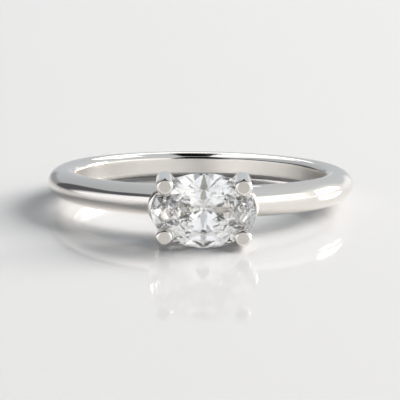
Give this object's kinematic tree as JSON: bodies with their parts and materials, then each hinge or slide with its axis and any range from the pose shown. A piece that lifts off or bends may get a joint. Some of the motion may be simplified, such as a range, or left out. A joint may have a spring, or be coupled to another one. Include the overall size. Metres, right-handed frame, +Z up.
{
  "type": "solitaire ring",
  "caption": "Finger ring in polished white metal with a clear oval brilliant held across the finger by round claws.",
  "frame": {"origin": "centre of the finger hole", "axes": "+Z up as the ring lies on its side, +Y from the stone to the back of the shank, +X along the stone"},
  "size_m": [0.0212, 0.0254, 0.005],
  "materials": {
    "white_metal": "mirror polish",
    "clear_stone": "faceted and polished"
  },
  "bodies": {
    "root": {"band": "white_metal", "stone": "clear_stone"}
  },
  "joints": []
}
